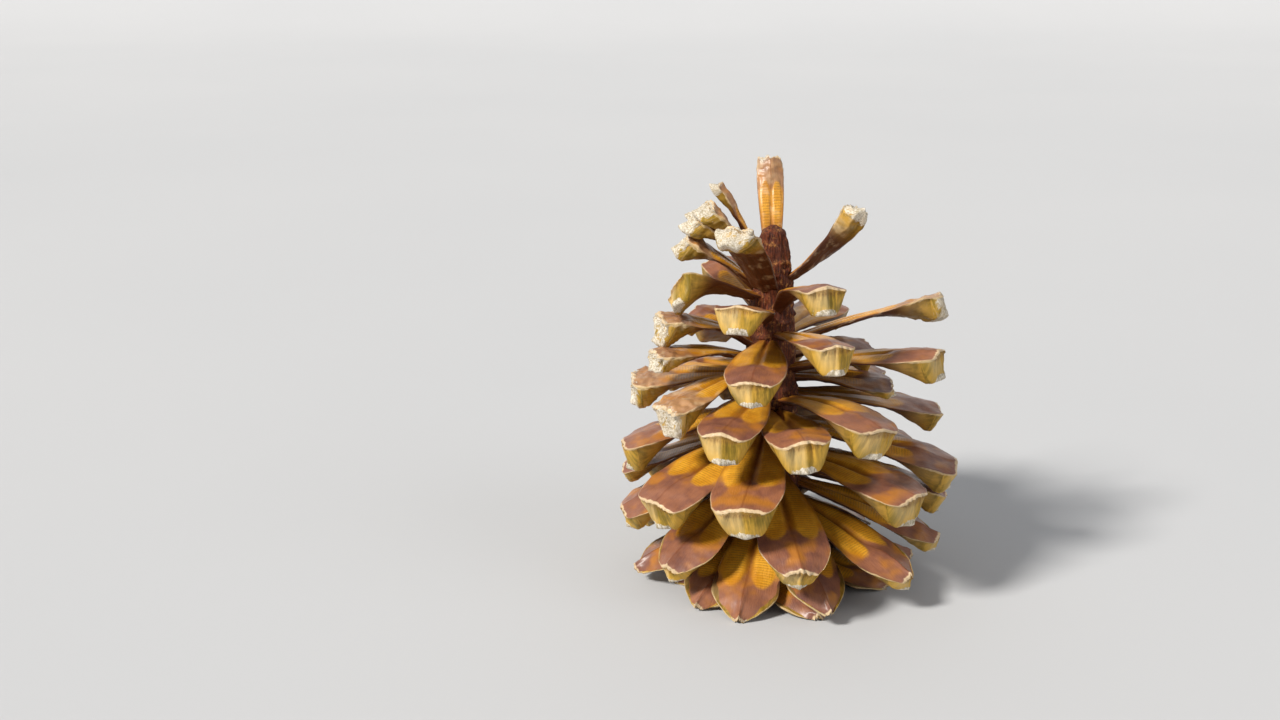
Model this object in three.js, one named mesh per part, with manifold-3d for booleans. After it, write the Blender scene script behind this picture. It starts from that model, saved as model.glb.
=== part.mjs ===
// An open pine cone that stands on its stalk scar, with its woody scales spread wide.
//
// Millimetres, +Z up. The origin is the middle of the flat stalk scar that the cone rests on, and
// the core rises along +Z. Headings are in degrees, counted from the front (-Y) towards +X.
//
// The cone is a woody core with scales set on one spiral, each a golden angle on from the last.
// The lowest scales hang down, those at mid height lie level and the top ones reach up. A scale is a
// blade that widens away from the core and ends in a thick shield: a rim above, and below it a face
// that narrows to a small knob. The smallest scales, at the very bottom and in the crown, have grown
// together with the core, and every other scale is a piece of its own.

import * as THREE from 'three';
import { mergeVertices } from 'three/addons/utils/BufferGeometryUtils.js';
import Module from 'manifold-3d';

// ---- Driving dimensions -------------------------------------------------------------------------

const LOWEST_PLACE = -8; // places on the spiral are counted up from the first spread scale, and
const TOP_PLACE = 82; // those below 0 are the small flat scales round the scar
const GOLDEN_ANGLE = 137.508;
const FIRST_HEADING = 15;
const LOWEST_TIP = 1.3; // no tip hangs lower than this
const FIRST_FREE = 5; // scales below this place have grown together with the core
const LAST_FREE = 73; // and so have those above this one
const CROWDED = 8; // below this place the roots sit lower, closer to the scar

const SCAR_RADIUS = 4.6;
const CORE_TOP = 66;
const ROOT_GAP = 0.7; // clear space between a free scale's root and the core

const BLADE_THICKNESS = 1.5;
const RIM_THICKNESS = 0.8;
const KNOB_PLACE = 0.92; // along the blade, 0 at the root and 1 at the tip
const SHIELD_START = 0.55; // where the blade begins to thicken towards the knob
const ARCH = 8; // how much a blade's pitch falls from root to tip
const ROOT_SHARE = 0.27; // of the full width
const WIDEST_PLACE = 0.76;
const TIP_SHARE = 0.34; // of the full width

const ALONG = [0, 0.3, 0.55, WIDEST_PLACE, KNOB_PLACE, 1];
const ACROSS = [-1, -0.5, 0, 0.5, 1];

// ---- How the single scales depart from the spiral -----------------------------------------------
// turn: degrees added to the heading. lift: added to the tip's height. reach: added to the tip's
// distance from the axis. width: added to the full width. roll: degrees, to the right at the tip.
// rootLift: added to the root's height. arch: degrees added to the arch. knob: added to the depth of
// the knob. foot: added to the width at the root.

const NO_DEPARTURE = { turn: 0, lift: 0, reach: 0, width: 0, roll: 0, rootLift: 0, arch: 0, knob: 0, foot: 0 };
const DEPARTURES = {
  0: { turn: 3, reach: -2 },
  3: { turn: 2, lift: 2 },
  5: { turn: 2, lift: 6.5, reach: 0.7 },
  6: { turn: 13, lift: 1, reach: 2.5 },
  8: { turn: -10, lift: -2.5, reach: 1 },
  13: { turn: -8, lift: -4.5, width: -1 },
  16: { turn: -20, lift: -2, reach: 1 },
  18: { turn: 20, lift: -3, rootLift: -1.5 },
  19: { turn: -6, lift: 0.5, reach: 1.5 },
  21: { lift: -3 },
  23: { lift: -1 },
  24: { turn: -3, lift: 3, reach: 0.8 },
  26: { turn: 7, lift: 3.5, rootLift: -5, arch: 6 },
  27: { turn: -3.5, lift: -1.2, knob: -2.5 },
  29: { turn: -0.6, lift: 0.5, width: -0.4, arch: -14, roll: -8 },
  31: { turn: 11, lift: -1.5, reach: 1 },
  32: { turn: -19, lift: 1.4, reach: 1 },
  36: { turn: -5, lift: 2, knob: -1 },
  37: { turn: 10.8, lift: 5.2, rootLift: -1.4, width: -1.7 },
  42: { turn: 7.5, lift: 0.2, rootLift: -5, width: -1.6 },
  44: { lift: 0.9, reach: -10, rootLift: -0.7, knob: -3 },
  45: { turn: 1, lift: -1, rootLift: 1.8, width: -3.4 },
  47: { turn: 3, lift: -4, reach: -0.5, rootLift: -3.5, arch: 20, roll: 8 },
  48: { turn: 12, lift: -3, reach: 1, rootLift: -1 },
  49: { reach: -11, lift: 0.5 },
  50: { turn: 8.6, lift: 1.8, rootLift: 2.3, width: -1, knob: -0.8 },
  52: { turn: 2, lift: 1.5, rootLift: -4 },
  53: { turn: 3, lift: -1, rootLift: -1.4, arch: 15, width: -2, knob: -2 },
  54: { reach: -3 },
  55: { turn: 7, lift: 3, width: -1 },
  56: { reach: -6 },
  57: { turn: -5, lift: 3, rootLift: -3, roll: 20, knob: -1 },
  61: { turn: 15, lift: -3.6, rootLift: -2, arch: 20 },
  63: { turn: -12 },
  64: { reach: -4 },
  66: { turn: -13, lift: -3, rootLift: 3.9, roll: -50, width: 1.6, foot: 2 },
  68: { turn: -6, lift: -2, arch: 30 },
  69: { turn: 20, lift: 1.3, rootLift: 1.6, width: -0.6 },
  71: { turn: -3, lift: 3, foot: 3, width: 0.8 },
  74: { turn: -3, lift: 0, rootLift: 2, reach: 1, width: -0.5 },
  77: { turn: 32, lift: 1.7, reach: -0.2, width: -3.6 },
  78: { turn: -9, lift: -3.2, reach: -3.8, arch: -45, roll: 75, rootLift: 0, width: -1.6, foot: 2 },
  79: { turn: -26, lift: -3.5 },
  80: { turn: 8, lift: 2, reach: 0.3, width: -1, rootLift: 3, foot: 2 },
  82: { lift: -8.5 },
};
// Places that have lost their scale.
const SHED = [10, 11, 34, 35, 39, 40, 58, 60, 62, 65, 67, 70, 72, 73, 75, 76, 81];

// ---- Rules ---------------------------------------------------------------------------------------

const radians = THREE.MathUtils.degToRad;

/** The direction of a heading, level, away from the axis. */
function outward(heading) {
  return new THREE.Vector3(Math.sin(radians(heading)), -Math.cos(radians(heading)), 0);
}

/** The value at x of the straight stretches through points [x, value]. */
function along(points, x) {
  const last = points.length - 1;
  if (x <= points[0][0]) return points[0][1];
  if (x >= points[last][0]) return points[last][1];
  const k = points.findIndex((point) => point[0] > x);
  const [x0, y0] = points[k - 1];
  const [x1, y1] = points[k];
  return THREE.MathUtils.lerp(y0, y1, (x - x0) / (x1 - x0));
}

const CORE_OUTLINE = [[0, SCAR_RADIUS], [6, 6.4], [20, 6.2], [40, 4.8], [55, 3.8], [62, 3.2], [CORE_TOP, 2.2]];
const TIP_REACH = [[0, 25], [5, 28], [20, 31], [30, 29.5], [45, 27.5], [55, 25], [65, 19.5], [73, 13.5], [80, 5]];
const EAST_SWELL = [[0, 3.5], [30, 3.5], [45, 4.5], [55, 5.5], [65, 4.5], [80, 1]]; // more at +X, less at -X
const WIDTH = [[0, 12], [20, 13], [40, 12.6], [55, 9.5], [65, 7.5], [80, 5.5]];
const KNOB_DEPTH = [[0, 0], [3, 0.2], [8, 2.6], [20, 5.2], [40, 5], [60, 4.2], [80, 2]]; // past the blade's thickness

/** Everything that sets one scale's shape, from its place on the spiral. */
function scaleAt(index) {
  const own = { ...NO_DEPARTURE, ...DEPARTURES[index] };
  const heading = FIRST_HEADING - GOLDEN_ANGLE * index + own.turn;
  const ruleHeight = -3 + 0.83 * index + 0.002 * index * index;
  const tipHeight = Math.max(LOWEST_TIP, ruleHeight + own.lift);
  const crowding = 0.75 * Math.max(0, CROWDED - index);
  const rootHeight = 13 + 0.8 * tipHeight - 0.0025 * tipHeight ** 2 - crowding + own.rootLift;
  const swell = along(EAST_SWELL, tipHeight) * Math.sin(radians(heading));
  const shortening = 1.7 * Math.max(0, -index);
  const reach = along(TIP_REACH, tipHeight) + swell - shortening + own.reach;
  const fused = index < FIRST_FREE || index > LAST_FREE;
  const coreRadius = along(CORE_OUTLINE, rootHeight);
  const droop = Math.max(0, rootHeight - tipHeight) / reach;
  const rootReach = fused ? 0.4 * coreRadius : coreRadius + ROOT_GAP + BLADE_THICKNESS * droop;
  const root = outward(heading).multiplyScalar(rootReach).setZ(rootHeight);
  const tip = outward(heading).multiplyScalar(reach).setZ(tipHeight);
  const width = along(WIDTH, tipHeight) + own.width;
  const foot = ROOT_SHARE * width + own.foot;
  const knobDepth = Math.max(0, Math.min(along(KNOB_DEPTH, tipHeight) + own.knob, 0.6 * width));
  return { index, heading, root, tip, width, foot, knobDepth, arch: ARCH + own.arch, roll: own.roll, fused };
}

/** The middle line of a scale's upper face, an arch from root to tip. */
function ribOf({ heading, root, tip, arch }) {
  const chord = new THREE.Vector3().subVectors(tip, root);
  const level = Math.hypot(chord.x, chord.y);
  const pitch = THREE.MathUtils.radToDeg(Math.atan2(chord.z, level));
  const third = chord.length() / 3;
  const heading3 = (degrees) => outward(heading)
    .multiplyScalar(Math.cos(radians(degrees)))
    .setZ(Math.sin(radians(degrees)))
    .multiplyScalar(third);
  const afterRoot = root.clone().add(heading3(pitch + arch / 2));
  const beforeTip = tip.clone().sub(heading3(pitch - arch / 2));
  return new THREE.CubicBezierCurve3(root, afterRoot, beforeTip, tip);
}

/** A scale's width at a place along the blade. */
function widthAt(place, { width, foot }) {
  if (place < WIDEST_PLACE) {
    const share = place / WIDEST_PLACE;
    return THREE.MathUtils.lerp(foot, width, Math.sin((share * Math.PI) / 2) ** 1.3);
  }
  const share = (place - WIDEST_PLACE) / (1 - WIDEST_PLACE);
  return THREE.MathUtils.lerp(TIP_SHARE * width, width, Math.sqrt(1 - share * share));
}

/** Thickness below the upper face at a place along and across the blade. */
function depth(place, across, knobDepth) {
  const plain = THREE.MathUtils.lerp(BLADE_THICKNESS, RIM_THICKNESS, Math.max(place, Math.abs(across)));
  const run = place > KNOB_PLACE ? 1 - KNOB_PLACE : KNOB_PLACE - SHIELD_START;
  const away = Math.abs(place - KNOB_PLACE) / run;
  return plain + knobDepth * Math.max(0, 1 - away) * (1 - across * across);
}

/** A closed body through rings of points that run the same way round. */
function loft(rings) {
  const size = rings[0].length;
  const positions = rings.flat().flatMap((point) => point.toArray());
  const index = [];
  for (let ring = 0; ring < rings.length - 1; ring += 1) {
    for (let k = 0; k < size; k += 1) {
      const a = ring * size + k;
      const b = ring * size + ((k + 1) % size);
      index.push(a, a + size, b, b, a + size, b + size);
    }
  }
  const half = size / 2;
  const last = (rings.length - 1) * size;
  for (let k = 0; k < half - 1; k += 1) {
    const [a, b, c, d] = [k, k + 1, size - 2 - k, size - 1 - k];
    index.push(a, b, d, b, c, d);
    index.push(last + a, last + d, last + b, last + b, last + d, last + c);
  }
  const geometry = new THREE.BufferGeometry();
  geometry.setAttribute('position', new THREE.Float32BufferAttribute(positions, 3));
  geometry.setIndex(index);
  return geometry;
}

/** The solid of one scale. */
function scaleGeometry(scale) {
  const rib = ribOf(scale);
  const aside = outward(scale.heading + 90);
  const rings = ALONG.map((place) => {
    const forward = rib.getTangent(place);
    const side = aside.clone().addScaledVector(forward, -aside.dot(forward)).normalize();
    side.applyAxisAngle(forward, radians(-scale.roll * place));
    const up = new THREE.Vector3().crossVectors(forward, side);
    const middle = rib.getPoint(place);
    const halfWidth = widthAt(place, scale) / 2;
    const point = (across, down) => middle.clone()
      .addScaledVector(side, halfWidth * across)
      .addScaledVector(up, -down);
    const above = ACROSS.map((across) => point(across, 0));
    const below = ACROSS.map((across) => point(across, depth(place, across, scale.knobDepth)));
    return [...above, ...below.reverse()];
  });
  return loft(rings);
}

/** The core: a spindle turned about the axis, flat at the scar. */
function coreGeometry() {
  const outline = CORE_OUTLINE.map(([height, radius]) => new THREE.Vector2(radius, height));
  const profile = [new THREE.Vector2(0, 0), ...outline, new THREE.Vector2(0, CORE_TOP)];
  return new THREE.LatheGeometry(profile, 20).rotateX(Math.PI / 2);
}

// ---- Joining -------------------------------------------------------------------------------------

const wasm = await Module();
wasm.setup();

/** A closed geometry as a solid that can be joined to others. */
function solidOf(geometry) {
  const bare = new THREE.BufferGeometry();
  bare.setAttribute('position', geometry.getAttribute('position'));
  bare.setIndex(geometry.getIndex());
  const merged = mergeVertices(bare, 1e-4);
  const vertProperties = new Float32Array(merged.getAttribute('position').array);
  const corners = Array.from(merged.getIndex().array);
  const triVerts = [];
  for (let k = 0; k < corners.length; k += 3) {
    const [a, b, c] = corners.slice(k, k + 3);
    if (a !== b && b !== c && c !== a) triVerts.push(a, b, c);
  }
  return new wasm.Manifold(new wasm.Mesh({ numProp: 3, vertProperties, triVerts: new Uint32Array(triVerts) }));
}

/** A solid's surface as a geometry. */
function geometryOf(solid) {
  const { vertProperties, triVerts } = solid.getMesh();
  const geometry = new THREE.BufferGeometry();
  geometry.setAttribute('position', new THREE.BufferAttribute(vertProperties, 3));
  geometry.setIndex(new THREE.BufferAttribute(triVerts, 1));
  return geometry;
}

// ---- The cone ------------------------------------------------------------------------------------

const scaleWood = new THREE.MeshStandardMaterial({ color: 0xa8702c, roughness: 0.5, metalness: 0 });
const coreWood = new THREE.MeshStandardMaterial({ color: 0x4a2a16, roughness: 0.75, metalness: 0 });

const cone = new THREE.Group();

const scales = [];
for (let index = LOWEST_PLACE; index <= TOP_PLACE; index += 1) {
  if (!SHED.includes(index)) scales.push(scaleAt(index));
}

let coreSolid = solidOf(coreGeometry());
for (const scale of scales.filter(({ fused }) => fused)) {
  coreSolid = coreSolid.add(solidOf(scaleGeometry(scale)));
}
const core = new THREE.Mesh(geometryOf(coreSolid), coreWood);
core.name = 'core';
cone.add(core);

for (const scale of scales.filter(({ fused }) => !fused)) {
  const mesh = new THREE.Mesh(scaleGeometry(scale), scaleWood);
  mesh.name = `scale_${String(scale.index).padStart(2, '0')}`;
  cone.add(mesh);
}

export default cone;
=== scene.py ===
"""An open pine cone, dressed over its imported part: woody scales on a spiral round a short core.

Lengths are in millimetres in the tables below and in metres once they reach a mesh. +Z is up, the
origin is the middle of the stalk scar, and headings are in degrees from the front (-Y) towards +X.
"""

import logging
import math
from dataclasses import dataclass, field
from enum import Enum

import bpy
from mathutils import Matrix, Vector, noise


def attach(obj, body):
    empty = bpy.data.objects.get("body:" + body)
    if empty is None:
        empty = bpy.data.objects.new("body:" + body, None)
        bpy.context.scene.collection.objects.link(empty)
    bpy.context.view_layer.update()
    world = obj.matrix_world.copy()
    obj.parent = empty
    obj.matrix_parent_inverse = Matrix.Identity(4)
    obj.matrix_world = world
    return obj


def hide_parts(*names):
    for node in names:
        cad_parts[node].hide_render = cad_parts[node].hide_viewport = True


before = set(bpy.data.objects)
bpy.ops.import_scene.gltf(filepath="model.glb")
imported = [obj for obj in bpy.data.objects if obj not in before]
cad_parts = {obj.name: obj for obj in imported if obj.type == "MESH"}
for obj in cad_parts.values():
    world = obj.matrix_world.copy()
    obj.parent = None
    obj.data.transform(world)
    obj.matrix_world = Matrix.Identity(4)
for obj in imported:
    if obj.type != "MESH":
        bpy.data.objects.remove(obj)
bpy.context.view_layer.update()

log = logging.getLogger("pine_cone")

MM = 0.001
SEED = 11

Table = tuple[tuple[float, float], ...]


# ---- Where the scales stand ----------------------------------------------------------------------


class Standing(Enum):
    """How a scale is held."""

    FREE = "free"
    AT_SCAR = "at_scar"
    IN_CROWN = "in_crown"


@dataclass(frozen=True)
class Departure:
    """How one scale departs from the spiral's rule, in degrees and millimetres."""

    turn: float = 0.0
    lift: float = 0.0
    reach: float = 0.0
    width: float = 0.0
    roll: float = 0.0
    root_lift: float = 0.0
    arch: float = 0.0
    knob: float = 0.0
    foot: float = 0.0


DEPARTURES: dict[int, Departure] = {
    0: Departure(turn=3, reach=-2),
    3: Departure(turn=2, lift=2),
    5: Departure(turn=2, lift=6.5, reach=0.7),
    6: Departure(turn=13, lift=1, reach=2.5),
    8: Departure(turn=-10, lift=-2.5, reach=1),
    13: Departure(turn=-8, lift=-4.5, width=-1),
    16: Departure(turn=-20, lift=-2, reach=1),
    18: Departure(turn=20, lift=-3, root_lift=-1.5),
    19: Departure(turn=-6, lift=0.5, reach=1.5),
    21: Departure(lift=-3),
    23: Departure(lift=-1),
    24: Departure(turn=-3, lift=3, reach=0.8),
    26: Departure(turn=7, lift=3.5, root_lift=-5, arch=6),
    27: Departure(turn=-3.5, lift=-1.2, knob=-2.5),
    29: Departure(turn=-0.6, lift=0.5, width=-0.4, arch=-14, roll=-8),
    31: Departure(turn=11, lift=-1.5, reach=1),
    32: Departure(turn=-19, lift=1.4, reach=1),
    36: Departure(turn=-5, lift=2, knob=-1),
    37: Departure(turn=10.8, lift=5.2, root_lift=-1.4, width=-1.7),
    42: Departure(turn=7.5, lift=0.2, root_lift=-5, width=-1.6),
    44: Departure(lift=0.9, reach=-10, root_lift=-0.7, knob=-3),
    45: Departure(turn=1, lift=-1, root_lift=1.8, width=-3.4),
    47: Departure(turn=3, lift=-4, reach=-0.5, root_lift=-3.5, arch=20, roll=8),
    48: Departure(turn=12, lift=-3, reach=1, root_lift=-1),
    49: Departure(reach=-11, lift=0.5),
    50: Departure(turn=8.6, lift=1.8, root_lift=2.3, width=-1, knob=-0.8),
    52: Departure(turn=2, lift=1.5, root_lift=-4),
    53: Departure(turn=3, lift=-1, root_lift=-1.4, arch=15, width=-2, knob=-2),
    54: Departure(reach=-3),
    55: Departure(turn=7, lift=3, width=-1),
    56: Departure(reach=-6),
    57: Departure(turn=-5, lift=3, root_lift=-3, roll=20, knob=-1),
    61: Departure(turn=15, lift=-3.6, root_lift=-2, arch=20),
    63: Departure(turn=-12),
    64: Departure(reach=-4),
    66: Departure(turn=-13, lift=-3, root_lift=3.9, roll=-50, width=1.6, foot=2),
    68: Departure(turn=-6, lift=-2, arch=30),
    69: Departure(turn=20, lift=1.3, root_lift=1.6, width=-0.6),
    71: Departure(turn=-3, lift=3, foot=3, width=0.8),
    74: Departure(turn=-3, root_lift=2, reach=1, width=-0.5),
    77: Departure(turn=32, lift=1.7, reach=-0.2, width=-3.6),
    78: Departure(turn=-9, lift=-3.2, reach=-3.8, arch=-45, roll=75, width=-1.6, foot=2),
    79: Departure(turn=-26, lift=-3.5),
    80: Departure(turn=8, lift=2, reach=0.3, width=-1, root_lift=3, foot=2),
    82: Departure(lift=-8.5),
}
# Scales that stay narrow far up the blade, and how strongly: 1.3 is an ordinary scale.
PLAIN_NECK = 1.3
NECKS: dict[int, float] = {
    **dict.fromkeys((44, 45, 48, 49, 51, 53, 54, 56, 57, 61, 64), 2.6),
    77: 5.0,
}
# Free scales whose ends are lumpy with dry resin, as the crown's are.
CRUSTED: tuple[int, ...] = (45, 48, 53, 57, 61, 69, 71)
# Places that have lost their scale, and show a scar on the core.
SHED: tuple[int, ...] = (10, 11, 34, 35, 39, 40, 58, 60, 62, 65, 67, 70, 72, 73, 75, 76, 81)
# Scales past this place end bluntly, and so do all of the crown's.
LAST_POINTED = 60
BLUNT_END = 0.78
# Lower down, the outline goes from pointed to round between these tip heights.
POINTED_BELOW = 5.0
ROUND_ABOVE = 17.0
# How far a scale may be turned about its rib by chance.
STRAY_ROLL = 9.0


@dataclass(frozen=True)
class Scale:
    """One scale: where it stands and how big it is, in millimetres and degrees."""

    place: int
    standing: Standing
    heading: float
    root: Vector
    tip: Vector
    width: float
    foot: float
    knob_depth: float
    arch: float
    roll: float

    @property
    def node(self) -> str:
        """The node that a free scale stands for."""
        return f"scale_{self.place:02d}"


def outward(heading: float) -> Vector:
    """The level direction of a heading, away from the axis."""
    return Vector((math.sin(math.radians(heading)), -math.cos(math.radians(heading)), 0.0))


def along(table: Table, x: float) -> float:
    """Reads a table of straight stretches.

    Args:
        table: Pairs of place and value, in order of place.
        x: The place to read.

    Returns:
        The value at x, held level past both ends.
    """
    if x <= table[0][0]:
        return table[0][1]
    for (x0, y0), (x1, y1) in zip(table, table[1:]):
        if x < x1:
            return y0 + (y1 - y0) * (x - x0) / (x1 - x0)
    return table[-1][1]


def risen(rise: tuple[float, float, float], x: float) -> float:
    """The height that a curve of start, slope and bend has reached at x."""
    start, slope, bend = rise
    return start + slope * x + bend * x**2


@dataclass
class Spiral:
    """The rule that sets every scale on the core.

    A rise holds the three factors of a curve: its start, its slope and its bend. A table gives a
    radius, reach, width or depth at each height. Crowding lowers a root for each place under the
    crowded one, and shortening draws in a scale for each place under 0. Sinking is the share of
    the core's radius at which a root stands.
    """

    lowest_place: int = -8
    top_place: int = 82
    golden_angle: float = 137.508
    first_heading: float = 15.0
    tip_rise: tuple[float, float, float] = (-3, 0.83, 0.002)
    root_rise: tuple[float, float, float] = (13, 0.8, -0.0025)
    lowest_tip: float = 1.3
    first_free: int = 5
    last_free: int = 73
    crowded: int = 8
    crowding: float = 0.75
    shortening: float = 1.7
    free_sinking: float = 0.72
    fused_sinking: float = 0.4
    root_share: float = 0.27
    most_knob: float = 0.6
    arch: float = 8.0
    core: Table = ((0, 4.6), (6, 6.4), (20, 6.2), (40, 4.8), (55, 3.8), (62, 3.2), (66, 2.2))
    reach: Table = (
        (0, 25), (5, 28), (20, 31), (30, 29.5), (45, 27.5),
        (55, 25), (65, 19.5), (73, 13.5), (80, 5),
    )
    swell: Table = ((0, 3.5), (30, 3.5), (45, 4.5), (55, 5.5), (65, 4.5), (80, 1))
    width: Table = ((0, 12), (20, 13), (40, 12.6), (55, 9.5), (65, 7.5), (80, 5.5))
    knob: Table = ((0, 0), (3, 0.2), (8, 2.6), (20, 5.2), (40, 5), (60, 4.2), (80, 2))

    def scale(self, place: int) -> Scale:
        """Sets one scale.

        Args:
            place: Its place on the spiral, counted up from the lowest spread scale.

        Returns:
            The scale's position and sizes.
        """
        own = DEPARTURES.get(place, Departure())
        heading = self.first_heading - self.golden_angle * place + own.turn
        tip_height = max(self.lowest_tip, risen(self.tip_rise, place) + own.lift)
        crowding = self.crowding * max(0, self.crowded - place)
        root_height = risen(self.root_rise, tip_height) - crowding + own.root_lift
        swell = along(self.swell, tip_height) * math.sin(math.radians(heading))
        shortening = self.shortening * max(0, -place)
        reach = along(self.reach, tip_height) + swell - shortening + own.reach
        standing = self._standing(place)
        sinking = self.free_sinking if standing is Standing.FREE else self.fused_sinking
        root_reach = sinking * along(self.core, root_height)
        width = along(self.width, tip_height) + own.width
        knob_depth = min(along(self.knob, tip_height) + own.knob, self.most_knob * width)
        return Scale(
            place=place,
            standing=standing,
            heading=heading,
            root=outward(heading) * root_reach + Vector((0, 0, root_height)),
            tip=outward(heading) * reach + Vector((0, 0, tip_height)),
            width=width,
            foot=self.root_share * width + own.foot,
            knob_depth=max(0.0, knob_depth),
            arch=self.arch + own.arch,
            roll=own.roll,
        )

    def _standing(self, place: int) -> Standing:
        """Tells how a scale is held.

        Args:
            place: Its place on the spiral.

        Returns:
            At the scar, in the crown or free.
        """
        if place < self.first_free:
            return Standing.AT_SCAR
        return Standing.IN_CROWN if place > self.last_free else Standing.FREE

    def scales(self) -> list[Scale]:
        """Every scale that the cone still has, from the scar up."""
        places = range(self.lowest_place, self.top_place + 1)
        return [self.scale(place) for place in places if place not in SHED]


# ---- Node benches --------------------------------------------------------------------------------


class Term:
    """A number inside a node tree, open to plain arithmetic."""

    def __init__(self, bench: "Bench", socket: bpy.types.NodeSocket) -> None:
        """Keeps the bench that the number is made on and the socket that it comes out of."""
        self.bench = bench
        self.socket = socket

    def __add__(self, other: "Term | float") -> "Term":
        """The sum."""
        return self.bench.math("ADD", self, other)

    def __sub__(self, other: "Term | float") -> "Term":
        """The difference."""
        return self.bench.math("SUBTRACT", self, other)

    def __rsub__(self, other: float) -> "Term":
        """The difference, from a plain number."""
        return self.bench.math("SUBTRACT", other, self)

    def __mul__(self, other: "Term | float") -> "Term":
        """The product."""
        return self.bench.math("MULTIPLY", self, other)

    def __truediv__(self, other: "Term | float") -> "Term":
        """The quotient."""
        return self.bench.math("DIVIDE", self, other)

    def __pow__(self, other: "Term | float") -> "Term":
        """The power."""
        return self.bench.math("POWER", self, other)

    __radd__ = __add__
    __rmul__ = __mul__

    def size(self) -> "Term":
        """The number without its sign."""
        return self.bench.math("ABSOLUTE", self)

    def up_to(self, most: "Term | float") -> "Term":
        """The number, or the most that it may be."""
        return self.bench.math("MINIMUM", self, most)

    def at_least(self, least: "Term | float") -> "Term":
        """The number, or the least that it may be."""
        return self.bench.math("MAXIMUM", self, least)

    def sine(self) -> "Term":
        """The sine."""
        return self.bench.math("SINE", self)

    def cosine(self) -> "Term":
        """The cosine."""
        return self.bench.math("COSINE", self)

    def ease(self, start: "Term | float", end: "Term | float") -> "Term":
        """Goes smoothly from 0 to 1 as the number goes from start to end.

        Args:
            start: Where it is still 0.
            end: Where it has become 1.

        Returns:
            The eased share.
        """
        node = self.bench.node("ShaderNodeMapRange", interpolation_type="SMOOTHSTEP")
        self.bench.feed(node.inputs["Value"], self)
        self.bench.feed(node.inputs["From Min"], start)
        self.bench.feed(node.inputs["From Max"], end)
        return Term(self.bench, node.outputs["Result"])

    def bell(self, middle: float, spread: float) -> "Term":
        """A smooth hump, 1 at its middle and 0 past its spread on both sides."""
        return ((self - middle).size() / spread).ease(1.0, 0.0)


class Arrow(Term):
    """A vector inside a node tree, open to plain arithmetic."""

    def __add__(self, other: "Arrow") -> "Arrow":
        """The sum."""
        return self.bench.vector("ADD", self, other)

    def __sub__(self, other: "Arrow") -> "Arrow":
        """The difference."""
        return self.bench.vector("SUBTRACT", self, other)

    def __mul__(self, other: Term | float) -> "Arrow":
        """Makes the vector longer.

        Args:
            other: How many times as long.

        Returns:
            The longer vector.
        """
        node = self.bench.node("ShaderNodeVectorMath", operation="SCALE")
        self.bench.feed(node.inputs[0], self)
        self.bench.feed(node.inputs["Scale"], other)
        return Arrow(self.bench, node.outputs["Vector"])

    def dot(self, other: "Arrow") -> Term:
        """Sets the dot product.

        Args:
            other: The other vector.

        Returns:
            The product, a plain number.
        """
        node = self.bench.node("ShaderNodeVectorMath", operation="DOT_PRODUCT")
        self.bench.feed(node.inputs[0], self)
        self.bench.feed(node.inputs[1], other)
        return Term(self.bench, node.outputs["Value"])

    def cross(self, other: "Arrow") -> "Arrow":
        """The cross product."""
        return self.bench.vector("CROSS_PRODUCT", self, other)

    def unit(self) -> "Arrow":
        """The same direction, one long."""
        return self.bench.vector("NORMALIZE", self)


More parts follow.
